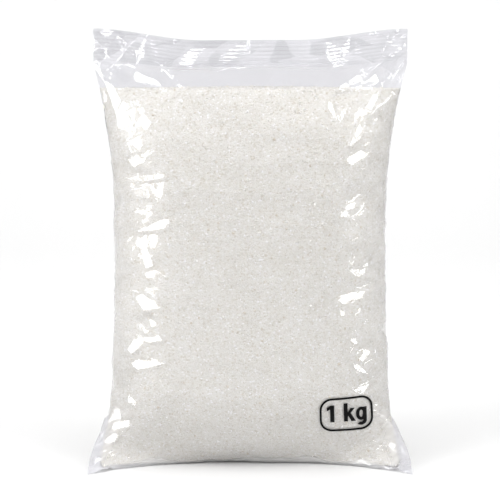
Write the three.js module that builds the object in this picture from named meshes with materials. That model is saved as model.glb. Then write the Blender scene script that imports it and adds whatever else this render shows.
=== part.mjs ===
// A one kilogram pillow bag of white sugar, standing on its base. The film is
// sealed flat across the top, and the corners of the bottom seal spread out on
// the floor as two ears. Millimetres, z up, the front of the bag to -y.
import * as THREE from 'three';
import { LoftGeometry } from 'three/addons/geometries/LoftGeometry.js';
import { mergeGeometries, mergeVertices } from 'three/addons/utils/BufferGeometryUtils.js';

const { clamp, lerp, smoothstep } = THREE.MathUtils;

// The outline seen from the front
const HEIGHT = 230; // floor to the corners of the top seal
const TOP_DIP = 6; // how far the top edge sags between its corners
const SEAL_FOOT = 212.5; // height of the lower line of the top seal
const WAIST_WIDTH = 142.4;
const WAIST_HEIGHT = 130;
const TOP_FLARE = 10.6; // each side, from the waist out to the top seal
const SIDE_FLARE = 6; // each side, from the waist down to the floor
const SIDE_FLARE_HEIGHT = 110;
const EAR_FLARE = 7.4; // each side, the ear beyond the side of the filled bag
const EAR_END = 5; // the upright end of an ear
const EAR_HEIGHT = 32;

// The section from front to back
const FIN = 1.2; // two films lying together
const FILL_DEPTH = 58; // at the fullest height
const FULL_HEIGHT = 60;
const BASE_DEPTH = 28; // the flat that stands on the floor
const BASE_ROUND = 40; // height over which the base rounds into the sides
const BASE_SHIFT = 11; // the flat lies back from the middle of the bag
const EAR_SWEEP = 32; // the ears come forward of the middle of the bag
const EAR_SWEEP_HEIGHT = 50;
const SEAL_WAVE = 2.5; // the top seal wanders this far to the front and back

// The mesh
const SIDE_POINTS = 36; // points across the front, and as many across the back
const LOWER_ROWS = 20;
const UPPER_ROWS = 24;
const SEAL_ROWS = 4;

// Half of the width at height z
function halfWidth(z) {
  const ear = EAR_FLARE * (1 - smoothstep(z, EAR_END, EAR_HEIGHT));
  const side = SIDE_FLARE * clamp(1 - z / SIDE_FLARE_HEIGHT, 0, 1) ** 2;
  const rise = (z - WAIST_HEIGHT) / (SEAL_FOOT - WAIST_HEIGHT);
  const top = TOP_FLARE * clamp(rise, 0, 1) ** 2;
  return WAIST_WIDTH / 2 + ear + side + top;
}

// Half of the depth in the middle of the bag at height z, without the fin
function halfDepth(z) {
  const full = (FILL_DEPTH - FIN) / 2;
  const base = (BASE_DEPTH - FIN) / 2;
  const foot = clamp(1 - z / BASE_ROUND, 0, 1);
  const lower = lerp(base, full, Math.sqrt(1 - foot * foot));
  const rise = clamp((z - FULL_HEIGHT) / (SEAL_FOOT - FULL_HEIGHT), 0, 1);
  return lower * (1 - rise ** 4) ** 0.55;
}

// How the depth falls off from the middle, s = 0, to the side, s = 1: full and
// round where the sugar fills the bag, drawn in where the film runs to a seal
function depthShare(s, z) {
  const full = Math.sqrt(Math.max(0, 1 - Math.abs(s) ** 2.6));
  const drawn = Math.cos((s * Math.PI) / 2) ** 2;
  const low = 1 - smoothstep(z, 0, 45);
  const high = smoothstep(z, 170, SEAL_FOOT + 12);
  return lerp(full, drawn, Math.max(low, high));
}

// The line midway between front and back
function middle(s, z) {
  const low = clamp(1 - z / EAR_SWEEP_HEIGHT, 0, 1) ** 2;
  const back = BASE_SHIFT * low * Math.cos((s * Math.PI) / 2) ** 2;
  const forward = EAR_SWEEP * low * Math.abs(s) ** 2.2;
  const wave = SEAL_WAVE * smoothstep(z, 180, SEAL_FOOT) * Math.sin(4.2 * s + 0.6);
  return back - forward + wave;
}

// One ring around the bag, across the front and home along the back. Above the
// foot of the seal the rings sag with the top edge.
function ring(z) {
  const share = clamp((z - SEAL_FOOT) / (HEIGHT - SEAL_FOOT), 0, 1);
  const points = [];
  for (const side of [-1, 1]) {
    for (let i = 0; i < SIDE_POINTS; i++) {
      const s = -side * Math.sin((i / (SIDE_POINTS - 1) - 0.5) * Math.PI);
      const depth = FIN / 2 + halfDepth(z) * depthShare(s, z);
      const sag = TOP_DIP * share * (1 - smoothstep(Math.abs(s), 0.3, 1));
      points.push(new THREE.Vector3(s * halfWidth(z), middle(s, z) + side * depth, z - sag));
    }
  }
  return points;
}

// Heights of the rings, close together at the base and under the seal
const heights = [];
for (let i = 0; i < LOWER_ROWS; i++) {
  heights.push(FULL_HEIGHT * (i / LOWER_ROWS) ** 1.7);
}
for (let i = 0; i <= UPPER_ROWS; i++) {
  heights.push(lerp(FULL_HEIGHT, SEAL_FOOT, Math.sin((i / UPPER_ROWS) * (Math.PI / 2)) ** 1.2));
}
for (let i = 1; i <= SEAL_ROWS; i++) {
  heights.push(lerp(SEAL_FOOT, HEIGHT, i / SEAL_ROWS));
}

// The skin of the bag, from the flat base up to the top edge of the seal
const rings = heights.map(ring);
const wall = new LoftGeometry(rings, { capStart: true });

// The thin top edge, a strip of rungs from the back film to the front film
const topRing = rings.at(-1);
const rungs = [];
for (let i = 0; i < SIDE_POINTS; i++) {
  rungs.push([topRing.at(-1 - i), topRing[i]]);
}
const topEdge = new LoftGeometry(rungs, { closed: false });

// One closed skin, set with the middle of its base box at the origin
const joined = mergeGeometries([wall, topEdge]);
joined.deleteAttribute('normal');
joined.deleteAttribute('uv');
const skin = mergeVertices(joined, 1e-4);
skin.computeBoundingBox();
const { min, max } = skin.boundingBox;
skin.translate(-(min.x + max.x) / 2, -(min.y + max.y) / 2, -min.z);
skin.computeVertexNormals();

const bag = new THREE.Mesh(
  skin,
  new THREE.MeshStandardMaterial({ color: 0xe3e1dc, roughness: 0.35, metalness: 0 }),
);
bag.name = 'bag';

const group = new THREE.Group();
group.name = 'bag_of_sugar';
group.add(bag);

export default group;
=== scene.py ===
import math

import bmesh
import bpy
import numpy as np
from mathutils import Matrix, Vector, noise
from mathutils.bvhtree import BVHTree


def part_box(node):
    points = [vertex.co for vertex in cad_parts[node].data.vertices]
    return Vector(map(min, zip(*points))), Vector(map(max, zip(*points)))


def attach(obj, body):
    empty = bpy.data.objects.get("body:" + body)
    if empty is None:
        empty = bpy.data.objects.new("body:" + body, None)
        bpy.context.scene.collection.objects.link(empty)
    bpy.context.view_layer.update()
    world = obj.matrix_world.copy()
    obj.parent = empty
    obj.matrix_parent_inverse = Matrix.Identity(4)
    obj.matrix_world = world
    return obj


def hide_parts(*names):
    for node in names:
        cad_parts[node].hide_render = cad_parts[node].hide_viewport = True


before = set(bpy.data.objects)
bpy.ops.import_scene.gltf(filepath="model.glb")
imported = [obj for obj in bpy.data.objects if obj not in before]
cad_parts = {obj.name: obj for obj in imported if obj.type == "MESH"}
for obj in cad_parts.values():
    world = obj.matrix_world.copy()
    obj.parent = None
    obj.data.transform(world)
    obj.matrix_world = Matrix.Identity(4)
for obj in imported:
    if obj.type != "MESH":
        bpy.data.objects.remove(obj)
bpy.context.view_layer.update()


# The film: one tube of thin clear plastic, welded flat across the bottom and the top. It is slack over
# the shoulders and the corners, where it buckles into small bright facets, and tight over the front.
bag_low, bag_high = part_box("bag")
BAG_HEIGHT = bag_high.z
SEAL_HEIGHT = 0.0175  # the flat band across the top
SEAL_FOOT = BAG_HEIGHT - SEAL_HEIGHT
TOP_DIP = 0.006  # how far the top edge sags between its corners
WAIST = 0.1424
WAIST_HEIGHT = 0.130
TOP_FLARE = 0.0106  # each side, from the waist out to the top seal
SIDE_FLARE = 0.006  # each side, from the waist down to the floor
SIDE_FLARE_HEIGHT = 0.110
EAR_FLARE = 0.0074  # each side, the ear beyond the side of the filled bag
EAR_END = 0.005
EAR_HEIGHT = 0.032
SEAM = 0.0012  # thickness of the solid's seals
FILL_DEPTH = 0.058
FULL_HEIGHT = 0.060
BASE_DEPTH = 0.028
BASE_ROUND = 0.040
BASE_SHIFT = 0.011  # the flat base lies back from the middle of the bag
EAR_SWEEP = 0.032  # the ears come forward of the middle of the bag
EAR_SWEEP_HEIGHT = 0.050
LOW_DRAW = 0.045  # below this the section is drawn in towards the bottom seam
HIGH_DRAW = 0.170  # and above this towards the top seal
HIGH_DRAW_END = SEAL_FOOT + 0.012
SEAL_WAVE = 0.0025  # the top seal wanders this far to the front and back
WAVE_FOOT = 0.180
MIDDLE = bag_low.y + EAR_SWEEP + SEAM / 2  # where the middle of the bag lies in the frame
SUGAR_LEVEL = 0.1992
SUGAR_FOOT = 0.0005
FILM_STEP = 0.0021  # mesh spacing, halved after the simulation
FILM_LONG = 0.2574  # from the bottom seam to the top edge
FILM_WIDE = 0.168
FILM_SLACK = 0.025  # how much longer the slack film is than the way it covers
BUMPS = 0.0006  # height of the unevenness that the buckles start from
STEPS = 30  # of the simulation
LARGE = 10  # the cloth solver works on a bag ten times the size
FILM_BENDING = 0.3
FILM_PRESSURE = 0.04
DENT_DEPTH = 0.004  # how far the film may be pushed into the sugar
CORE_ROWS = 110  # mesh of the core that the film lies against
CORE_COLUMNS = 80
RIM = 0.985  # shares of the half width beyond this are the side edges
FACET_ROUNDS = 8
FACET_REACH = 3  # mesh steps
FACET_TURN = 0.22  # normals that differ by more than this belong to another facet
# Flat flakes of creased film on the front: across and up in mm, half length, half height, turn in degrees,
# and whether they face left (-1) or right (1). The back has the same, the other way round.
FLAKES = (
    (-59, 172, 3.8, 3.8, 0, -1),
    (-59, 163, 4.5, 3.8, 0, -1),
    (-55, 154, 10, 3.4, 3, -1),
    (-56, 147, 5.5, 4.6, -35, -1),
    (-55, 136, 5, 1.6, -2, -1),
    (-50, 129, 9.5, 2.6, 20, -1),
    (-55.5, 121, 4, 4, 70, -1),
    (-54, 113, 6, 4, 90, -1),
    (-53, 89, 7, 4.6, -20, -1),
    (-51, 79, 2.6, 2, -50, -1),
    (-60, 67, 6.5, 4, 70, -1),
    (-51, 70, 5.5, 2, -5, -1),
    (-53, 57, 9.5, 3.2, 6, -1),
    (-62, 37, 3.4, 2.4, -60, -1),
    (-68, 23, 5.5, 3, 30, -1),
    (-74.5, 15, 6, 2.4, 22, -1),
    (-79, 6, 3, 1.4, 20, -1),
    (55, 165, 5.8, 4, 12, 1),
    (52, 139.5, 3.4, 2, 35, 1),
    (48.5, 135.5, 2.6, 1.8, 25, 1),
    (55.5, 105, 4.6, 2.6, -10, 1),
    (60, 107.5, 4.6, 1.4, 35, 1),
    (53, 92.5, 8, 2.8, 15, 1),
    (48, 84, 2.6, 1.4, -50, 1),
    (54, 69, 2.6, 1.8, -30, 1),
    (51.5, 64.5, 3.6, 1.8, 35, 1),
    (60, 60.5, 4, 2.2, 28, 1),
    (58.5, 53, 6, 1.8, -38, 1),
    (58, 43.5, 5.5, 2, 15, 1),
    (69.5, 11.5, 4, 2, -35, 1),
    (-59, 206.5, 15.5, 2.4, -23, -1),
    (-41.5, 206.5, 7, 2.2, -40, -1),
    (-79, 208.5, 5.5, 1.8, -65, -1),
    (-68, 190.5, 15, 4.2, -57, -1),
    (-55, 185.5, 6, 1.9, -52, -1),
    (57, 205.5, 14, 2.6, 32, 1),
    (60, 186, 18.5, 3, 60, 1),
    (43, 188, 6.5, 1.7, -65, 1),
    (47.5, 186, 4, 1.4, 75, 1),
    (76, 207.5, 8, 1.4, 57, 1),
    (-63.5, 220.5, 8, 2.4, -57, 1),
    (-56, 220.5, 7, 2.2, 76, -1),
    (-31, 215.8, 7.5, 5, 30, -1),
    (-8.5, 217, 9.5, 5, 42, -1),
    (44.5, 217.5, 8.5, 5.5, -50, 1),
    (49.5, 219.5, 7.5, 2.4, 67, -1),
    (65.5, 227.5, 2.8, 1.4, 0, 1),
    (72.5, 224, 3, 1.4, -50, 1),
    (77, 219, 3, 1.4, 40, -1),
    (79, 226, 2.6, 1.4, 20, 1),
    (70, 220, 2.2, 1.0, 60, 1),
    (75, 221.5, 2.4, 1.1, -20, 1),
    (80.5, 222, 2.0, 1.0, 70, 1),
    (82, 217.5, 2.2, 0.9, -50, 1),
    (73.5, 216.5, 2.6, 1.0, 10, -1),
    (69, 216, 2.0, 0.9, -40, 1),
    (76.5, 228, 1.8, 0.8, 40, 1),
    (-75, 228, 5, 1.4, -5, -1),
    (-75, 217.5, 3.4, 1.4, -55, -1),
    (-39.5, 223, 3, 1.4, 80, -1),
)
FLAKE_TURN = math.radians(25)  # how far a flake faces to its side
FLAKE_TILT = math.radians(15)  # and up
FLAKE_RELIEF = 1.0  # mm, the most that a flake leaves the skin
SIDE_HAZE = 0.5  # how milky the creased film at the sides is, as a share of the ears
FLOOR_GAP = 0.0002
FILM_APART = 0.00012  # half of the distance between the two films of a seal


def ease(x, low, high):
    """Smooth step from 0 at low to 1 at high."""
    t = np.clip((x - low) / (high - low), 0, 1)
    return t * t * (3 - 2 * t)


def half_width(z):
    """Half of the bag's width at height z."""
    ear = EAR_FLARE * (1 - ease(z, EAR_END, EAR_HEIGHT))
    side = SIDE_FLARE * np.clip(1 - z / SIDE_FLARE_HEIGHT, 0, 1) ** 2
    top = TOP_FLARE * np.clip((z - WAIST_HEIGHT) / (SEAL_FOOT - WAIST_HEIGHT), 0, 1) ** 2
    return WAIST / 2 + ear + side + top


def half_depth(s, z):
    """Half of the pillow's depth at share s of the half width and height z."""
    full, base = (FILL_DEPTH - SEAM) / 2, (BASE_DEPTH - SEAM) / 2
    foot = np.clip(1 - z / BASE_ROUND, 0, 1)
    rise = np.clip((z - FULL_HEIGHT) / (SEAL_FOOT - FULL_HEIGHT), 0, 1)
    deepest = (base + (full - base) * np.sqrt(1 - foot**2)) * (1 - rise**4) ** 0.55
    round_share = np.sqrt(np.maximum(0, 1 - np.abs(s) ** 2.6))
    drawn_share = np.cos(s * np.pi / 2) ** 2
    drawn = np.maximum(1 - ease(z, 0, LOW_DRAW), ease(z, HIGH_DRAW, HIGH_DRAW_END))
    return deepest * (round_share + (drawn_share - round_share) * drawn)


def middle(s, z):
    """The line midway between the front and the back film."""
    low = np.clip(1 - z / EAR_SWEEP_HEIGHT, 0, 1) ** 2
    back = BASE_SHIFT * low * np.cos(s * np.pi / 2) ** 2
    forward = EAR_SWEEP * low * np.abs(s) ** 2.2
    wave = SEAL_WAVE * ease(z, WAVE_FOOT, SEAL_FOOT) * np.sin(4.2 * s + 0.6)
    return MIDDLE + back - forward + wave


def even_steps(points, count):
    """The same path as count even steps."""
    lengths = np.linalg.norm(np.diff(points, axis=0), axis=1)
    run = np.concatenate([[0], np.cumsum(lengths)])
    at = np.linspace(0, run[-1], count + 1)
    return np.stack([np.interp(at, run, points[:, axis]) for axis in range(3)], axis=-1)


ACROSS = np.sin(np.linspace(-1, 1, 161) * np.pi / 2)  # shares of the half width, close at the edges


def panel(path, side, rows, columns):
    """Evenly spread points over the front (-1) or back (1) face, from the bottom seam upwards."""
    lines = np.stack([even_steps(path(share, side), rows) for share in ACROSS])
    return np.stack([even_steps(lines[:, row], columns) for row in range(rows + 1)])


def pouch(path, rows, columns):
    """A closed pouch: a front and a back grid laid along the path and welded round their edges."""
    shell = bmesh.new()
    side_of = shell.verts.layers.int.new("side")
    row_of = shell.verts.layers.int.new("row")
    column_of = shell.verts.layers.int.new("column")
    for side in (-1, 1):
        points = panel(path, side, rows, columns)
        grid = bmesh.ops.create_grid(shell, x_segments=columns, y_segments=rows, size=1)["verts"]
        for vert in grid:
            vert[side_of] = side
            vert[row_of] = round((vert.co.y + 1) / 2 * rows)
            vert[column_of] = round((vert.co.x + 1) / 2 * columns)
            vert.co = points[vert[row_of], vert[column_of]]
    rim = [v for v in shell.verts if v[row_of] in (0, rows) or v[column_of] in (0, columns)]
    bmesh.ops.remove_doubles(shell, verts=rim, dist=1e-6)
    bmesh.ops.recalc_face_normals(shell, faces=shell.faces)
    if shell.calc_volume(signed=True) < 0:
        bmesh.ops.reverse_faces(shell, faces=shell.faces)
    shell.normal_update()
    return shell


def filled_path(gap, lift, ear_fill):
    """Paths up a filling's wall, gap inside the film: seam below, wall, and in over the level top.
    The foot is lifted towards the sides, and at the floor it fills only a share of the width."""
    levels = np.linspace(SUGAR_FOOT, SUGAR_LEVEL, 401)
    shares = np.linspace(0, 1, 1001)
    reach = np.array([shares[np.flatnonzero(half_depth(shares, z) > gap)[-1]] for z in levels])
    reach = np.minimum(reach, ear_fill + (1 - ear_fill) * ease(levels, 0.006, EAR_HEIGHT + 0.002))

    def path(share, side):
        heights = np.linspace(SUGAR_FOOT + lift * share**2, SUGAR_LEVEL, 401)
        s = share * np.interp(heights, levels, reach)
        depth = np.maximum(half_depth(s, heights) - gap, 0) * (abs(share) < 1)
        x = s * half_width(heights)
        y = middle(s, heights)
        wall = np.stack([x, y + side * depth, heights], axis=-1)
        seams = np.stack([x, y, heights], axis=-1)
        return np.concatenate([seams[:1], wall, seams[-1:]])

    return path


def piece(name, shell):
    """A new object of the finished mesh."""
    mesh = bpy.data.meshes.new(name)
    shell.to_mesh(mesh)
    shell.free()
    made = bpy.data.objects.new(name, mesh)
    bpy.context.scene.collection.objects.link(made)
    return made


def add_node(tree, kind, settings, inputs):
    """Adds a node with its settings, and links or sets its input sockets."""
    made = tree.nodes.new(kind)
    for name, value in settings.items():
        setattr(made, name, value)
    for socket, value in inputs.items():
        if isinstance(value, bpy.types.NodeSocket):
            tree.links.new(value, made.inputs[socket])
        else:
            made.inputs[socket].default_value = value
    return made


def new_material(name):
    """An empty node material, with its tree and its output node."""
    material = bpy.data.materials.new(name)
    material.use_nodes = True
    tree = material.node_tree
    tree.nodes.clear()
    return material, tree, tree.nodes.new("ShaderNodeOutputMaterial")


def film_path(share, side):
    """Path up the film: from the seam below the base to the base's edge, and up to the top edge."""
    heights = np.linspace(0, BAG_HEIGHT, 1001)
    s = np.full_like(heights, share)
    seal = np.clip((heights - SEAL_FOOT) / SEAL_HEIGHT, 0, 1)
    sag = TOP_DIP * seal * (1 - ease(np.abs(s), 0.3, 1))
    x = s * half_width(heights)
    y = middle(s, heights)
    wall = np.stack([x, y + side * half_depth(s, heights), heights - sag], axis=-1)
    return np.concatenate([[[x[0], y[0], 0]], wall])


film_rows = round(FILM_LONG / FILM_STEP)
film_columns = round(FILM_WIDE / FILM_STEP)
film_shell = pouch(film_path, film_rows, film_columns)
film_shell.verts.ensure_lookup_table()
layers = film_shell.verts.layers.int
side_of, row_of, column_of = layers["side"], layers["row"], layers["column"]
film_side = np.array([v[side_of] for v in film_shell.verts])
film_row = np.array([v[row_of] for v in film_shell.verts])
film_column = np.array([v[column_of] for v in film_shell.verts])
film_up = film_row / film_rows * FILM_LONG
film_aside = np.abs(film_column / film_columns * 2 - 1)
film = piece("film", film_shell)


def points_of(mesh):
    """The places of a mesh's vertices."""
    points = np.empty(len(mesh.vertices) * 3, dtype=np.float32)
    mesh.vertices.foreach_get("co", points)
    return points.reshape(-1, 3).astype(float)


def set_group(body, name, weights):
    """A vertex group with a weight for each vertex."""
    group = body.vertex_groups.new(name=name)
    for index in np.flatnonzero(weights > 0):
        group.add([int(index)], float(weights[index]), "REPLACE")


def flaked(skin, side):
    """The skin with its flakes, four cornered and each on a plane of its own. Also how far inside a flake
    each point lies, in mm, and which way that flake faces."""
    across = -side * skin[..., 0] * 1000
    height = skin[..., 2] * 1000
    out = side * skin[..., 1] * 1000
    inside = np.full(across.shape, -4.0)
    facing = np.zeros_like(skin)
    for number, (x, z, half_long, half_high, turn, face) in enumerate(FLAKES):
        cos, sin = math.cos(math.radians(turn)), math.sin(math.radians(turn))
        along = (across - x) * cos + (height - z) * sin
        over = (height - z) * cos - (across - x) * sin
        peak = (0.7 * math.sin(3 * number) * half_long, 0.7 * half_high)
        foot = (0.7 * math.sin(5 * number + 1) * half_long, -half_high)
        corners = ((-half_long, 0), foot, (half_long, 0), peak)
        depth = np.full(across.shape, 9.0)
        for (u, v), (next_u, next_v) in zip(corners, corners[1:] + corners[:1]):
            step_u, step_v = next_u - u, next_v - v
            from_edge = (step_u * (over - v) - step_v * (along - u)) / math.hypot(step_u, step_v)
            depth = np.minimum(depth, from_edge)
        aim_turn = face * (FLAKE_TURN + 0.04 * math.sin(7 * number))
        aim_tilt = FLAKE_TILT + 0.05 * math.sin(11 * number)
        nearest = np.unravel_index(np.argmin((across - x) ** 2 + (height - z) ** 2), across.shape)
        swing = math.tan(aim_turn) * (across - across[nearest])
        lean = math.tan(aim_tilt) / math.cos(aim_turn) * (height - height[nearest])
        plane = out[nearest] - swing - lean
        out = out + ease(depth, -1.5, 0.2) * np.clip(plane - out, -FLAKE_RELIEF, FLAKE_RELIEF)
        level = math.cos(aim_tilt)
        ahead = (-side * math.sin(aim_turn) * level, side * math.cos(aim_turn) * level, math.sin(aim_tilt))
        facing[depth > inside] = ahead
        inside = np.maximum(inside, depth)
    return np.stack([skin[..., 0], side * out / 1000, skin[..., 2]], axis=-1), inside, facing


def buckled(film, up, aside):
    """The film as the cloth solver leaves it, blown against its slack round the fixed sugar. Up is each
    point's way from the bottom seam, and aside its share of the half width."""
    scene = bpy.context.scene
    normals = np.empty(len(film.data.vertices) * 3, dtype=np.float32)
    film.data.vertices.foreach_get("normal", normals)
    start = points_of(film.data)
    bumps = np.array([noise.noise(Vector((40 * x, 40 * y, 90 * z))) for x, y, z in start])
    bumps += 0.25 * np.random.default_rng(5).standard_normal(len(bumps))
    rim = (aside > 0.97) | (up > FILM_LONG - FILM_STEP)
    bumps[rim] = 0
    start += normals.reshape(-1, 3) * (bumps * BUMPS)[:, None]
    sheet = bpy.data.objects.new("slack film", film.data.copy())
    sheet.data.vertices.foreach_set("co", (start * LARGE).astype(np.float32).ravel())
    core_shell = pouch(filled_path(DENT_DEPTH, 0, 1), CORE_ROWS, CORE_COLUMNS)
    bmesh.ops.scale(core_shell, vec=(LARGE, LARGE, LARGE), verts=core_shell.verts)
    core = piece("core", core_shell)
    core.modifiers.new("core", "COLLISION")
    core.collision.thickness_outer = 0.003
    core.collision.thickness_inner = 0.1
    core.collision.cloth_friction = 0.5
    scene.collection.objects.link(sheet)

    seal_ends = (aside > RIM) & ((up > FILM_LONG - 0.04) | (up < 0.03))
    held = np.maximum(1.0 * seal_ends, 1.0 * (up > FILM_LONG - SEAL_HEIGHT))
    held = np.maximum(held, 0.3 * (aside > RIM))
    set_group(sheet, "held", held)
    pressed = ease(FILM_LONG - up, SEAL_HEIGHT, SEAL_HEIGHT + 0.007) * ease(up, 0, 0.01)
    set_group(sheet, "pressed", pressed)
    shoulders = ease(aside, 0.45, 0.75)
    head = 0.15 * ease(up, FILM_LONG - 0.055, FILM_LONG - 0.03)
    foot = 0.5 * (1 - ease(up, 0.02, 0.06)) * ease(aside, 0.3, 0.7)
    slack = np.clip(np.maximum(np.maximum(shoulders, head), foot), 0.05, 1)
    set_group(sheet, "tight", 1 - slack)

    cloth = sheet.modifiers.new("cloth", "CLOTH")
    cloth.settings.quality = 8
    cloth.settings.mass = 0.1
    cloth.settings.air_damping = 3
    cloth.settings.tension_stiffness = 80
    cloth.settings.compression_stiffness = 80
    cloth.settings.shear_stiffness = 30
    cloth.settings.bending_stiffness = FILM_BENDING
    cloth.settings.vertex_group_mass = "held"
    cloth.settings.pin_stiffness = 1
    cloth.settings.shrink_min = -FILM_SLACK
    cloth.settings.shrink_max = 0
    cloth.settings.vertex_group_shrink = "tight"
    cloth.settings.use_pressure = True
    cloth.settings.uniform_pressure_force = FILM_PRESSURE
    cloth.settings.vertex_group_pressure = "pressed"
    cloth.settings.effector_weights.gravity = 0
    cloth.collision_settings.collision_quality = 2
    cloth.collision_settings.distance_min = 0.003
    cloth.point_cache.frame_end = STEPS + 1
    for step in range(1, STEPS + 1):
        scene.frame_set(step)
    shaped = sheet.evaluated_get(bpy.context.evaluated_depsgraph_get())
    points = points_of(shaped.to_mesh()) / LARGE
    scene.frame_set(1)
    for spent in (sheet, core):
        bpy.data.meshes.remove(spent.data)
    return points


def pairs_of(side, row, column):
    """Vertex numbers of the front and the back by row and column, with the rim in both."""
    rows, columns = row.max(), column.max()
    pair = np.zeros((2, rows + 1, columns + 1), dtype=int)
    rim = (row == 0) | (row == rows) | (column == 0) | (column == columns)
    for half, face in ((0, -1), (1, 1)):
        here = rim | (side == face)
        pair[half, row[here], column[here]] = np.flatnonzero(here)
    return pair


def doubled(grid):
    """The same skin with a new row and column midway between all neighbours."""
    for axis in (0, 1):
        steps = grid.shape[axis] - 1
        at = np.arange(2 * steps + 1) / 2
        low = np.minimum(at.astype(int), steps - 1)
        share = (at - low).reshape((-1, 1, 1) if axis == 0 else (1, -1, 1))
        grid = np.take(grid, low, axis) * (1 - share) + np.take(grid, low + 1, axis) * share
    return grid


def unit(vectors):
    """The same directions, one long."""
    return vectors / np.maximum(np.linalg.norm(vectors, axis=-1, keepdims=True), 1e-12)


def faceted(grid):
    """The skin drawn into flat facets with sharp creases between them, its rim left in place."""
    rows, columns = grid.shape[0] - 1, grid.shape[1] - 1
    reach = range(-FACET_REACH, FACET_REACH + 1)
    for _ in range(FACET_ROUNDS):
        normal = unit(np.cross(grid[1:, 1:] - grid[:-1, :-1], grid[:-1, 1:] - grid[1:, :-1]))
        border = (FACET_REACH, FACET_REACH)
        wide = np.pad(normal, (border, border, (0, 0)), mode="edge")
        total = np.zeros_like(normal)
        for i in reach:
            for j in reach:
                first_row, first_column = FACET_REACH + i, FACET_REACH + j
                near = wide[first_row : first_row + rows, first_column : first_column + columns]
                apart = ((near - normal) ** 2).sum(axis=-1, keepdims=True)
                weight = np.exp(-apart / (2 * FACET_TURN**2) - (i * i + j * j) / (2 * FACET_REACH**2 / 4))
                total += weight * near
        normal = unit(total)
        centre = (grid[1:, 1:] + grid[:-1, :-1] + grid[1:, :-1] + grid[:-1, 1:]) / 4
        move = np.zeros_like(grid)
        for i in (0, 1):
            for j in (0, 1):
                corner = grid[i : rows + i, j : columns + j]
                flat = ((centre - corner) * normal).sum(axis=-1, keepdims=True)
                move[i : rows + i, j : columns + j] += normal * flat / 4
        move[[0, -1]] = 0
        move[:, [0, -1]] = 0
        grid = grid + move
    return grid


film_points = buckled(film, film_up, film_aside)
pair = pairs_of(film_side, film_row, film_column)
bpy.data.meshes.remove(film.data)
front, front_inside, front_facing = flaked(faceted(doubled(film_points[pair[0]])), -1)
back, back_inside, back_facing = flaked(faceted(doubled(film_points[pair[1]])), 1)
below = FILM_LONG * (1 - np.arange(2 * film_rows + 1) / (2 * film_rows))
welded = ease(below, SEAL_HEIGHT + 0.003, SEAL_HEIGHT)[:, None, None]
back = back + (front + (0, 2 * FILM_APART, 0) - back) * welded
between = (front + back) / 2
inside_out = front[..., 1] > back[..., 1] - 2 * FILM_APART
front[inside_out, 1] = between[inside_out, 1] - FILM_APART
back[inside_out, 1] = between[inside_out, 1] + FILM_APART
for skin in (front, back):
    skin[[0, -1]] = between[[0, -1]]
    skin[:, [0, -1]] = between[:, [0, -1]]
    skin[..., 2] = np.maximum(skin[..., 2], FLOOR_GAP)

fine_shell = pouch(film_path, 2 * film_rows, 2 * film_columns)
layers = fine_shell.verts.layers.int
side_of, row_of, column_of = layers["side"], layers["row"], layers["column"]
below_top_of = fine_shell.verts.layers.float.new("below_top")
slack_of = fine_shell.verts.layers.float.new("slack")
inside_of = fine_shell.verts.layers.float.new("in_flake")
facing_of = fine_shell.verts.layers.float_vector.new("flake_facing")
haze_of = fine_shell.verts.layers.float.new("haze")
# Where the film is slack, and where it is milky, by its share of the half width and its way from the
# top edge and from the bottom seam
below_edge = below[:, None]
above_seam = FILM_LONG - below_edge
aside = np.abs(np.linspace(-1, 1, 2 * film_columns + 1))[None]
side_slack = ease(aside, 0.5, 0.78)
head_slack = 0.8 * ease(below_edge, 0.06, 0.035)
ear_slack = (1 - ease(above_seam, 0.02, 0.06)) * ease(aside, 0.3, 0.7)
slack = np.maximum(np.maximum(side_slack, head_slack), ear_slack)
slack = slack * (1 - 0.8 * ease(aside, 0.82, 0.97) * ease(below_edge, 0.02, 0.03))
ear_haze = ease(aside, 0.74, 0.92) * (1 - ease(above_seam, 0.034, 0.056))
side_haze = SIDE_HAZE * ease(aside, 0.6, 0.85) * ease(below_edge, 0.031, 0.042)
haze = np.maximum(ear_haze, side_haze)
for vert in fine_shell.verts:
    skin, inside, facing = (
        (front, front_inside, front_facing) if vert[side_of] < 0 else (back, back_inside, back_facing)
    )
    spot = (vert[row_of], vert[column_of])
    vert.co = skin[spot]
    vert[below_top_of] = below[vert[row_of]]
    vert[slack_of] = slack[spot]
    vert[inside_of] = inside[spot]
    vert[facing_of] = facing[spot]
    vert[haze_of] = haze[spot]
for edge in fine_shell.edges:
    rows, columns = {v[row_of] for v in edge.verts}, {v[column_of] for v in edge.verts}
    edge.smooth = not (rows in ({0}, {2 * film_rows}) or columns in ({0}, {2 * film_columns}))
film = piece("film", fine_shell)
film.data.polygons.foreach_set("use_smooth", np.ones(len(film.data.polygons), dtype=bool))

CLEAR_TINT = (0.908, 0.906, 0.927)
CELL_SIZE = (0.018, 0.018, 0.0075)  # of the flat facets that slack film breaks into
CELL_TURN = math.radians(22)  # they rise to the right
CELL_SHIFT = (0.31, 0, 0.27)
CELL_SWIRL = 0.012  # how far their edges wander
CELL_TILT = 0.27  # how far a facet leans
FLAKE_CELL_TILT = 0.06  # and how far inside a flake
CELL_PAINTED_SHADE = 0.025  # how much darker the painted shade makes the darkest facet
SIDE_PAINTED_LIGHT = 0.04  # how much lighter the painted light makes the film over the sides of the sugar
SEAL_PAINTED_SHADE = 0.04  # how much darker the painted shade makes the darkest part of the seal
SEAL_LIGHT = 0.015  # how much lighter the seal is as a whole
CREASE_HEIGHT = 0.00012  # of the lines between facets, half as high inside a flake
CRINKLE = 0.00004  # height of the film's fine unevenness
STREAK_HEIGHT = 0.00005
STREAKS = (15, 15, 350)  # long across the bag, fine upwards
RIDGE_STEP = 0.002  # the ridges that the sealing bar leaves across the top
RIDGE_HEIGHT = 0.00006
# painted light and shade in stripes along the ridges, how far the tint rises and falls
RIDGE_PAINTED_LIGHT = 0.012
STRAIGHT_MIRROR = 0.075  # the share that the film mirrors seen straight on
SLANT_MIRROR = 0.80  # what is added to it at a low slant
SHARP_GLOSS = 0.05
SOFT_GLOSS = 0.38
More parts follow.
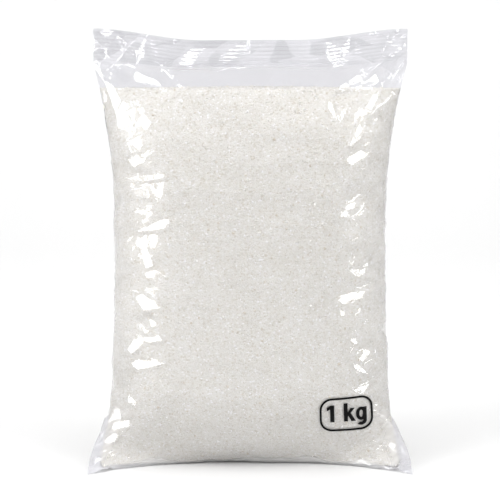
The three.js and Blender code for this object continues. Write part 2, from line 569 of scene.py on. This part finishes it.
LIP_HAZE = 0.6  # how milky the folded film along the floor is
CREASE_HAZE = 0.34  # how milky the ears are at their creases
FACET_HAZE = 0.16  # and between them
MILKY = (0.88, 0.88, 0.9, 1)
clear, tree, output = new_material("clear film")


def maths(operation, *values):
    """A number worked out in the current material."""
    made = add_node(tree, "ShaderNodeMath", {"operation": operation}, dict(enumerate(values)))
    return made.outputs[0]


def vector_maths(operation, *values):
    """A vector worked out in the current material."""
    made = add_node(tree, "ShaderNodeVectorMath", {"operation": operation}, dict(enumerate(values)))
    return made.outputs[0]


def attribute(name, output_name):
    """What the mesh of the current material's piece stores under a name."""
    return add_node(tree, "ShaderNodeAttribute", {"attribute_name": name}, {}).outputs[output_name]


def spread(value, low, high, first, last):
    """The value's place from low to high, as a place from first to last."""
    places = {0: value, 1: low, 2: high, 3: first, 4: last}
    return add_node(tree, "ShaderNodeMapRange", {}, places).outputs[0]


def cloudy(vector, scale, detail):
    """A soft random pattern in the current material."""
    return add_node(tree, "ShaderNodeTexNoise", {}, {"Vector": vector, "Scale": scale, "Detail": detail})


place = tree.nodes.new("ShaderNodeTexCoord").outputs["Object"]
slack_here = attribute("slack", "Fac")
below_top = attribute("below_top", "Fac")
# Slack film breaks into flat cells with wandering edges, each with a tilt of its own and its own share of
# the painted shade and light
swirl = vector_maths("SUBTRACT", cloudy(place, 50, 1).outputs["Color"], (0.5, 0.5, 0.5))
bent = vector_maths("MULTIPLY_ADD", swirl, (CELL_SWIRL, CELL_SWIRL, CELL_SWIRL), place)
cell_map = {"Vector": bent, "Location": CELL_SHIFT, "Rotation": (0, CELL_TURN, 0)}
turned = add_node(tree, "ShaderNodeMapping", {}, cell_map).outputs[0]
celled = vector_maths("DIVIDE", turned, CELL_SIZE)
cells = add_node(tree, "ShaderNodeTexVoronoi", {}, {"Vector": celled, "Scale": 1}).outputs["Color"]
to_edge = add_node(
    tree, "ShaderNodeTexVoronoi", {"feature": "DISTANCE_TO_EDGE"}, {"Vector": celled, "Scale": 1}
).outputs["Distance"]
# Inside a flake the film faces the flake's own way
geometry = tree.nodes.new("ShaderNodeNewGeometry").outputs
outward = maths("MULTIPLY_ADD", geometry["Backfacing"], -2, 1)
flake_normal = vector_maths("MULTIPLY", attribute("flake_facing", "Vector"), outward)
in_flake = spread(attribute("in_flake", "Fac"), -0.1, 0.1, 0, 1)
flake_change = vector_maths("SUBTRACT", flake_normal, geometry["Normal"])
creased = vector_maths("MULTIPLY_ADD", flake_change, in_flake, geometry["Normal"])
cell_draw = vector_maths("SUBTRACT", cells, (0.5, 0.5, 0.5))
cell_tilt = maths("MULTIPLY", slack_here, spread(in_flake, 0, 1, CELL_TILT, FLAKE_CELL_TILT))
tilted = vector_maths("NORMALIZE", vector_maths("MULTIPLY_ADD", cell_draw, cell_tilt, creased))
# Low relief: crinkles, streaks, creases between the cells, and the ridges of the seal
crinkle = maths("MULTIPLY", cloudy(place, 330, 2).outputs["Fac"], CRINKLE)
in_seal = maths("LESS_THAN", below_top, SEAL_HEIGHT)
ridge_wave = maths("SINE", maths("MULTIPLY", below_top, 2 * math.pi / RIDGE_STEP))
ridges = maths("MULTIPLY", ridge_wave, in_seal)
streaks = cloudy(vector_maths("MULTIPLY", place, STREAKS), 1, 2).outputs["Fac"]
crease_depth = maths("MULTIPLY", slack_here, spread(in_flake, 0, 1, CREASE_HEIGHT, 0.5 * CREASE_HEIGHT))
height = maths("MULTIPLY_ADD", ridges, RIDGE_HEIGHT, crinkle)
height = maths("MULTIPLY_ADD", maths("MULTIPLY", streaks, slack_here), STREAK_HEIGHT, height)
height = maths("MULTIPLY_ADD", spread(to_edge, 0, 0.05, 1, 0), crease_depth, height)
bump = add_node(
    tree, "ShaderNodeBump", {}, {"Height": height, "Strength": 1, "Distance": 1, "Normal": tilted}
).outputs["Normal"]
slant = add_node(tree, "ShaderNodeLayerWeight", {}, {"Blend": 0.5, "Normal": bump}).outputs["Facing"]
mirror = maths("MULTIPLY_ADD", maths("POWER", slant, 4), SLANT_MIRROR, STRAIGHT_MIRROR)
# The clear tint carries painted shade and painted light, from cell to cell and along the streaks
cell_parts = add_node(tree, "ShaderNodeSeparateColor", {}, {"Color": cells}).outputs
painted_light_pattern = maths("ADD", cell_parts["Blue"], streaks)
# Painted shade on the cells of the head space, turning into painted light over the sides of the sugar for
# the side lamps' sheen, and back to a little painted shade on the ears
over_sugar = spread(below_top, 0.026, 0.060, -CELL_PAINTED_SHADE, SIDE_PAINTED_LIGHT)
over_ears = spread(below_top, 0.17, 0.20, SIDE_PAINTED_LIGHT, -0.3 * CELL_PAINTED_SHADE)
most_shade = maths("MULTIPLY", slack_here, maths("MINIMUM", over_sugar, over_ears))
# Painted shade on the seal, standing in for its facets that mirror darker surroundings
most_shade = maths("MULTIPLY_ADD", in_seal, -SEAL_PAINTED_SHADE, most_shade)
shade = maths("MULTIPLY_ADD", painted_light_pattern, most_shade, 1)
# Painted light and shade in stripes along the ridges of the seal
shade = maths("MULTIPLY_ADD", ridges, RIDGE_PAINTED_LIGHT, shade)
shade = maths("MULTIPLY_ADD", in_seal, SEAL_LIGHT, shade)
tint_with_painted_light = vector_maths("MULTIPLY", shade, CLEAR_TINT)
clear_part = add_node(tree, "ShaderNodeBsdfTransparent", {}, {"Color": tint_with_painted_light})
# Film folded along the floor, and creased at the ears and the sides, is milky
up_from_floor = add_node(tree, "ShaderNodeSeparateXYZ", {}, {"Vector": place}).outputs["Z"]
fold_height = maths("MULTIPLY_ADD", cloudy(place, 45, 1).outputs["Fac"], -0.008, up_from_floor)
lip_haze = spread(fold_height, -0.0022, -0.0004, LIP_HAZE, 0)
most_haze = spread(to_edge, 0, 0.5, CREASE_HAZE, FACET_HAZE)
milkiness = maths("MAXIMUM", lip_haze, maths("MULTIPLY", attribute("haze", "Fac"), most_haze))
milky = add_node(tree, "ShaderNodeBsdfTranslucent", {}, {"Color": MILKY})
milky_front = add_node(tree, "ShaderNodeBsdfDiffuse", {}, {"Color": MILKY})


def blend(share, first, second):
    """The second shader mixed into the first."""
    return add_node(tree, "ShaderNodeMixShader", {}, {0: share, 1: first.outputs[0], 2: second.outputs[0]})


body = blend(milkiness, clear_part, blend(0.5, milky, milky_front))
sharp_gloss, soft_gloss = (
    add_node(
        tree, "ShaderNodeBsdfGlossy", {}, {"Color": (1, 1, 1, 1), "Roughness": roughness, "Normal": bump}
    )
    for roughness in (SHARP_GLOSS, SOFT_GLOSS)
)
shader = blend(mirror, body, blend(0.5, sharp_gloss, soft_gloss))
tree.links.new(shader.outputs[0], output.inputs["Surface"])
film.data.materials.append(clear)
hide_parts("bag")
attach(film, "root")


# The sugar: a kilogram of white granulated crystals, poured loose into the bag. It fills the pillow
# that the film makes of it, stands flat on the floor and ends in a level top below the seal.
SUGAR_GAP = 0.0004  # from the sugar's wall to the film
SUGAR_LIFT = 0.0018  # how much higher the foot lies at the sides
EAR_FILL = 0.935  # the share of the width that the sugar fills at the floor
SUGAR_REACH = 0.007  # how far the film may lie from its formed place
THIN = 0.004  # where the sugar is thinner than this it only fills its share between the films
SUGAR_LONG = 0.243  # up the wall and in over the top
SUGAR_WIDE = 0.166
SUGAR_STEP = 0.00125  # mesh spacing
LUMPS = 0.0002  # height of the soft unevenness
RELIEF = 0.0002  # height of the grain relief


def ramp(tree, factor, stops):
    """A colour ramp with (place, colour) stops."""
    made = add_node(tree, "ShaderNodeValToRGB", {}, {"Fac": factor})
    elements = made.color_ramp.elements
    while len(elements) < len(stops):
        elements.new(0.5)
    for element, (place, colour) in zip(elements, stops):
        element.position = place
        element.color = (*colour, 1)
    return made.outputs["Color"]


sugar_path = filled_path(SUGAR_GAP, SUGAR_LIFT, EAR_FILL)
sugar_shell = pouch(sugar_path, round(SUGAR_LONG / SUGAR_STEP), round(SUGAR_WIDE / SUGAR_STEP))
film_tree = BVHTree.FromObject(film, bpy.context.evaluated_depsgraph_get())
# Thick sugar lies against the film, and thin sugar in the corners fills its share between front and back
thickness = {}
for vert in sugar_shell.verts:
    share = vert.co.x / half_width(vert.co.z)
    middle_y = middle(share, vert.co.z)
    depth = abs(vert.co.y - middle_y)
    thickness[vert] = float(depth * ease(vert.co.z, SUGAR_FOOT, 0.006))
    before = film_tree.ray_cast(Vector((vert.co.x, bag_low.y - 0.1, vert.co.z)), Vector((0, 1, 0)))[0]
    behind = film_tree.ray_cast(Vector((vert.co.x, bag_high.y + 0.1, vert.co.z)), Vector((0, -1, 0)))[0]
    squeezed = vert.co.copy()
    if before and behind:
        half = (behind.y - before.y) / 2
        filled = depth / max(half_depth(share, vert.co.z), SUGAR_GAP)
        room = max(min(half * filled, half - SUGAR_GAP), 0)
        squeezed.y = (before.y + behind.y) / 2 + math.copysign(room, vert.co.y - middle_y)
    follow = float(max(ease(thickness[vert], THIN, 2 * THIN), ease(vert.co.z, 0.030, 0.045)))
    follow *= float(1 - ease(vert.co.z, SUGAR_LEVEL - 0.005, SUGAR_LEVEL - 0.001))
    inward = min(SUGAR_REACH, 0.7 * depth)
    hit = film_tree.ray_cast(vert.co - vert.normal * inward, vert.normal, 2 * SUGAR_REACH)[0]
    if hit and follow > 0:
        squeezed = squeezed.lerp(hit - vert.normal * SUGAR_GAP, follow)
    vert.co = squeezed
sugar_shell.normal_update()
draws = np.random.default_rng(11)
for vert in sugar_shell.verts:
    lumps = noise.noise(vert.co * 110) + 0.6 * noise.noise(vert.co * 260)
    sunk = LUMPS * 0.5 * min(lumps - 0.8, 0) - RELIEF * draws.uniform(0, 1)
    vert.co += vert.normal * sunk * float(ease(thickness[vert], 0, THIN))
sugar = piece("sugar", sugar_shell)
sugar.data.polygons.foreach_set("use_smooth", np.ones(len(sugar.data.polygons), dtype=bool))

GRAIN = 0.0007  # breadth of a crystal
# The sugar's tone differs at random from crystal to crystal, and its brightest few are painted near white,
# a painted glint standing in for crystals that sparkle
SUGAR_TONE_AND_GLINT_STOPS = (
    (0.0, (0.68, 0.637, 0.545)),
    (0.12, (0.785, 0.763, 0.69)),
    (0.5, (0.835, 0.818, 0.755)),
    (0.95, (0.875, 0.863, 0.812)),
    (0.97, (0.995, 0.99, 0.98)),
)
CLUMP_STOPS = ((0.3, (0.97, 0.965, 0.95)), (0.7, (1, 1, 1)))
white, tree, output = new_material("white sugar")
place = tree.nodes.new("ShaderNodeTexCoord").outputs["Object"]
cells = add_node(tree, "ShaderNodeTexVoronoi", {}, {"Vector": place, "Scale": 1 / GRAIN})
cell_draw = add_node(tree, "ShaderNodeSeparateColor", {}, {"Color": cells.outputs["Color"]})
tone = ramp(tree, cell_draw.outputs["Red"], SUGAR_TONE_AND_GLINT_STOPS)
clump_tone = ramp(tree, cloudy(place, 90, 6).outputs["Fac"], CLUMP_STOPS)
colour = add_node(
    tree,
    "ShaderNodeMix",
    {"data_type": "RGBA", "blend_type": "MULTIPLY"},
    {"Factor": 1, "A": tone, "B": clump_tone},
)
gloss = spread(cell_draw.outputs["Green"], 0, 0.12, 0.1, 0.55)
bump = add_node(
    tree,
    "ShaderNodeBump",
    {"invert": True},
    {"Height": cells.outputs["Distance"], "Strength": 0.7, "Distance": 0.0005},
)
shader = add_node(
    tree,
    "ShaderNodeBsdfPrincipled",
    {},
    {
        "Base Color": colour.outputs["Result"],
        "IOR": 1.54,
        "Roughness": gloss,
        "Normal": bump.outputs["Normal"],
    },
)
tree.links.new(shader.outputs["BSDF"], output.inputs["Surface"])
sugar.data.materials.append(white)
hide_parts("bag")
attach(sugar, "root")


# Loose crystals: single grains of the sugar, small boxes of glassy crystal. They lie on the level top
# and stand out of the wall against the film, most of them white and a few straw coloured.
WHITE_GRAINS = 12000  # how many of them
STRAW_GRAINS = 1500
GRAIN_SIZES = (0.0005, 0.0013)
GRAIN_SINK = 0.0002  # how far their middles lie inside the wall


def crystals(name, count, seed):
    """Seeded crystals strewn over the sugar by area, joined as one mesh with a tone for each grain."""
    draw = np.random.default_rng(seed)
    cube = bmesh.new()
    bmesh.ops.create_cube(cube, size=1)
    corners = np.array([v.co for v in cube.verts])
    quads = np.array([[v.index for v in face.verts] for face in cube.faces])
    cube.free()
    polygons = sugar.data.polygons
    centres = np.empty(len(polygons) * 3)
    normals = np.empty(len(polygons) * 3)
    areas = np.empty(len(polygons))
    polygons.foreach_get("center", centres)
    polygons.foreach_get("normal", normals)
    polygons.foreach_get("area", areas)
    across, up = centres.reshape(-1, 3)[:, 0], centres.reshape(-1, 3)[:, 2]
    areas[(np.abs(across) > 0.9 * half_width(up)) | (up < 0.005)] = 0
    spots = draw.choice(len(polygons), count, p=areas / areas.sum())
    middles = (centres - GRAIN_SINK * normals).reshape(-1, 3)[spots]
    least, most = GRAIN_SIZES
    sizes = least + (most - least) * draw.uniform(0, 1, (count, 1)) ** 3
    sizes = sizes * draw.uniform(0.7, 1, (count, 3))
    turns = draw.normal(size=(count, 4))
    turns /= np.linalg.norm(turns, axis=1, keepdims=True)
    w, i, j, k = turns.T
    rotations = np.stack(
        [
            np.stack([1 - 2 * (j * j + k * k), 2 * (i * j - k * w), 2 * (i * k + j * w)], axis=-1),
            np.stack([2 * (i * j + k * w), 1 - 2 * (i * i + k * k), 2 * (j * k - i * w)], axis=-1),
            np.stack([2 * (i * k - j * w), 2 * (j * k + i * w), 1 - 2 * (i * i + j * j)], axis=-1),
        ],
        axis=1,
    )
    points = np.einsum("nab,ncb->nca", rotations, corners * sizes[:, None]) + middles[:, None]
    faces = quads + len(corners) * np.arange(count)[:, None, None]
    mesh = bpy.data.meshes.new(name)
    mesh.from_pydata(points.reshape(-1, 3).tolist(), [], faces.reshape(-1, 4).tolist())
    tone = mesh.attributes.new("tone", "FLOAT", "POINT")
    tone.data.foreach_set("value", np.repeat(draw.uniform(0, 1, count), len(corners)).astype(np.float32))
    made = bpy.data.objects.new(name, mesh)
    bpy.context.scene.collection.objects.link(made)
    return made


def crystal_finish(name, stops):
    """Glossy crystal with a tone of its own for each grain."""
    material, tree, output = new_material(name)
    tone = add_node(tree, "ShaderNodeAttribute", {"attribute_name": "tone"}, {})
    shader = add_node(
        tree,
        "ShaderNodeBsdfPrincipled",
        {},
        {"Base Color": ramp(tree, tone.outputs["Fac"], stops), "Roughness": 0.2},
    )
    tree.links.new(shader.outputs["BSDF"], output.inputs["Surface"])
    return material


BRIGHT_STOPS = ((0.0, (0.80, 0.782, 0.715)), (0.8, (0.85, 0.833, 0.775)), (1.0, (0.98, 0.973, 0.955)))
STRAW_STOPS = ((0.0, (0.68, 0.61, 0.49)), (1.0, (0.80, 0.755, 0.67)))
for name, count, seed, stops in (
    ("white_crystals", WHITE_GRAINS, 21, BRIGHT_STOPS),
    ("straw_crystals", STRAW_GRAINS, 22, STRAW_STOPS),
):
    grains = crystals(name, count, seed)
    grains.data.materials.append(crystal_finish(name.replace("_", " "), stops))
    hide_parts("bag")
    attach(grains, "root")


# The weight mark: black ink printed on the film low on the right of the front, a plain rounded frame
# round the net weight. It follows the film's small folds.
MARK_CENTRE = (0.0505, 0.0298)  # across and up, on the front
MARK_SIZE = (0.0282, 0.0190)
MARK_CORNER = 0.0065
MARK_LINE = 0.00112
MARK_TURN = math.radians(2.5)
# Straight strokes of the figure and the two letters, in mm from the middle of the frame
STROKES = (
    ((-8.6, -4.1), (-6.4, -4.1), (-6.4, 5.5), (-8.6, 5.5)),
    ((-10.3, 2.3), (-8.6, 3.3), (-8.6, 5.4), (-10.3, 4.1)),
    ((-1.4, -4.1), (0.7, -4.1), (0.7, 6.2), (-1.4, 6.2)),
    ((0.7, -1.4), (4.4, 3.2), (2.2, 3.2), (0.7, 0.9)),
    ((1.0, -1.0), (2.5, -4.1), (4.9, -4.1), (2.2, 0.6)),
    ((8.8, -4.3), (10.8, -4.3), (10.8, 3.2), (8.8, 3.2)),
)
# Curved strokes: middle, outer and inner reach across and up, first and last angle
BOWLS = (
    ((7.8, -0.3), (2.8, 3.7), (1.0, 2.0), 0, 360),
    ((7.9, -4.3), (2.9, 2.6), (0.9, 0.8), 0, -140),
)
BOWL_STEPS = 24
INK_STEP = 0.0008  # mesh spacing
INK_LIFT = 0.00012  # off the film
INK_THICKNESS = 0.00006

ink_shell = bmesh.new()
bmesh.ops.create_grid(ink_shell, x_segments=1, y_segments=1, size=0.5)
bmesh.ops.scale(ink_shell, vec=(*MARK_SIZE, 1), verts=ink_shell.verts)
bmesh.ops.bevel(
    ink_shell,
    geom=ink_shell.verts[:],
    offset=MARK_CORNER,
    offset_type="OFFSET",
    affect="VERTICES",
    segments=10,
    profile=0.5,
    material=-1,
)
inset = bmesh.ops.inset_individual(ink_shell, faces=ink_shell.faces[:], thickness=MARK_LINE)
frame_faces = set(inset["faces"])
bmesh.ops.delete(ink_shell, geom=[f for f in ink_shell.faces if f not in frame_faces], context="FACES")
strokes = list(STROKES)
for bowl_middle, outer, inner, first, last in BOWLS:
    turns = np.radians(np.linspace(first, last, BOWL_STEPS + 1))
    round_points = np.stack([np.cos(turns), np.sin(turns)], axis=-1)
    rim, hole = round_points * outer + bowl_middle, round_points * inner + bowl_middle
    strokes += [(rim[i], rim[i + 1], hole[i + 1], hole[i]) for i in range(BOWL_STEPS)]
for stroke in strokes:
    ink_shell.faces.new([ink_shell.verts.new((x / 1000, y / 1000, 0)) for x, y in stroke])
bmesh.ops.remove_doubles(ink_shell, verts=ink_shell.verts, dist=1e-6)
for axis in (0, 1):
    reach = MARK_SIZE[axis] / 2
    for at in np.arange(-reach, reach, INK_STEP):
        cut = Vector((0, 0, 0))
        cut[axis] = at
        along = Vector((0, 0, 0))
        along[axis] = 1
        everything = ink_shell.verts[:] + ink_shell.edges[:] + ink_shell.faces[:]
        bmesh.ops.bisect_plane(ink_shell, geom=everything, plane_co=cut, plane_no=along, dist=1e-7)
flat_ink = ink_shell.verts[:] + ink_shell.edges[:] + ink_shell.faces[:]
raised = bmesh.ops.extrude_face_region(ink_shell, geom=flat_ink, use_keep_orig=True)["geom"]
raised_verts = [v for v in raised if isinstance(v, bmesh.types.BMVert)]
bmesh.ops.translate(ink_shell, vec=(0, 0, INK_THICKNESS), verts=raised_verts)
turn = Matrix.Rotation(MARK_TURN, 2)
for vert in ink_shell.verts:
    x, z = turn @ vert.co.xy + Vector(MARK_CENTRE)
    hit = film_tree.ray_cast(Vector((x, bag_low.y - 0.1, z)), Vector((0, 1, 0)))[0]
    vert.co = hit - Vector((0, INK_LIFT + vert.co.z, 0))
bmesh.ops.recalc_face_normals(ink_shell, faces=ink_shell.faces)
mark = piece("weight_mark", ink_shell)
ink, tree, output = new_material("black ink")
black = {"Base Color": (0.004, 0.004, 0.004, 1), "Roughness": 0.6, "Specular IOR Level": 0.1}
shader = add_node(tree, "ShaderNodeBsdfPrincipled", {}, black)
tree.links.new(shader.outputs["BSDF"], output.inputs["Surface"])
mark.data.materials.append(ink)
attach(mark, "root")


# The stage: a white paper sweep, floor and wall in one sheet with a wide curve between them, and soft
# boxes at both sides and above. The camera stands as in the photograph.
SWEEP_HALF = 2.5  # half of the sheet's width
SWEEP_BACK = 1.6
SWEEP_HIGH = 2.5
SWEEP_ROUND = 0.8

sweep_shell = bmesh.new()
bmesh.ops.create_grid(sweep_shell, x_segments=1, y_segments=1, size=SWEEP_HALF)
bmesh.ops.translate(sweep_shell, vec=(0, SWEEP_BACK - SWEEP_HALF, 0), verts=sweep_shell.verts)
back_edge = [e for e in sweep_shell.edges if all(v.co.y > SWEEP_BACK - 0.01 for v in e.verts)]
wall = bmesh.ops.extrude_edge_only(sweep_shell, edges=back_edge)["geom"]
raised = [v for v in wall if isinstance(v, bmesh.types.BMVert)]
bmesh.ops.translate(sweep_shell, vec=(0, 0, SWEEP_HIGH), verts=raised)
bmesh.ops.bevel(
    sweep_shell,
    geom=back_edge,
    offset=SWEEP_ROUND,
    offset_type="OFFSET",
    affect="EDGES",
    segments=16,
    profile=0.5,
    material=-1,
)
bmesh.ops.recalc_face_normals(sweep_shell, faces=sweep_shell.faces)
sweep = piece("sweep", sweep_shell)
sweep.data.polygons.foreach_set("use_smooth", np.ones(len(sweep.data.polygons), dtype=bool))
paper, tree, output = new_material("white paper")
shader = add_node(
    tree, "ShaderNodeBsdfPrincipled", {}, {"Base Color": (0.75, 0.75, 0.75, 1), "Roughness": 0.9}
)
tree.links.new(shader.outputs["BSDF"], output.inputs["Surface"])
sweep.data.materials.append(paper)


def soft_box(name, place, size, power, aim):
    """A rectangular studio light aimed at a point."""
    lamp = bpy.data.lights.new(name, "AREA")
    lamp.shape = "RECTANGLE"
    lamp.size, lamp.size_y = size
    lamp.energy = power
    box = bpy.data.objects.new(name, lamp)
    box.location = place
    box.rotation_euler = (Vector(aim) - Vector(place)).to_track_quat("-Z", "Y").to_euler()
    bpy.context.scene.collection.objects.link(box)
    return box


BAG_MIDDLE = (0, 0, 0.11)
# The soft boxes light the sugar and the paper, and only the strips show as bright shapes in the film
for name, place, size, power in (
    ("left soft box", (-0.71, -0.55, 0.52), (0.5, 0.7), 5.5),
    ("right soft box", (0.71, -0.55, 0.52), (0.5, 0.7), 4.2),
    ("top soft box", (0, -0.22, 1.0), (0.9, 0.7), 7.6),
):
    soft_box(name, place, size, power, BAG_MIDDLE).visible_glossy = False
for name, place, size, power in (
    ("left strip", (-0.72, -0.56, 0.34), (0.30, 0.56), 6.0),
    ("right strip", (0.72, -0.56, 0.45), (0.28, 0.36), 3.7),
):
    soft_box(name, place, size, power, BAG_MIDDLE).visible_diffuse = False
soft_box("backdrop soft box", (0, 0.5, 1.5), (1.6, 0.5), 23.0, (0, 1.6, 0.8))

world = bpy.data.worlds.new("studio")
bpy.context.scene.world = world
world.use_nodes = True
world.node_tree.nodes["Background"].inputs["Color"].default_value = (1, 1, 1, 1)
world.node_tree.nodes["Background"].inputs["Strength"].default_value = 0.2
bpy.context.scene.view_settings.view_transform = "Standard"

CAMERA_RISE = math.radians(8)
CAMERA_AWAY = 1.2
CAMERA_AIM = 0.1138
CAMERA_LENS = 164  # mm
lens = bpy.data.cameras.new("camera")
lens.lens = CAMERA_LENS
camera = bpy.data.objects.new("camera", lens)
camera_height = CAMERA_AIM + CAMERA_AWAY * math.sin(CAMERA_RISE)
camera.location = (0, -CAMERA_AWAY * math.cos(CAMERA_RISE), camera_height)
camera.rotation_euler = (math.pi / 2 - CAMERA_RISE, 0, 0)
bpy.context.scene.collection.objects.link(camera)
bpy.context.scene.camera = camera
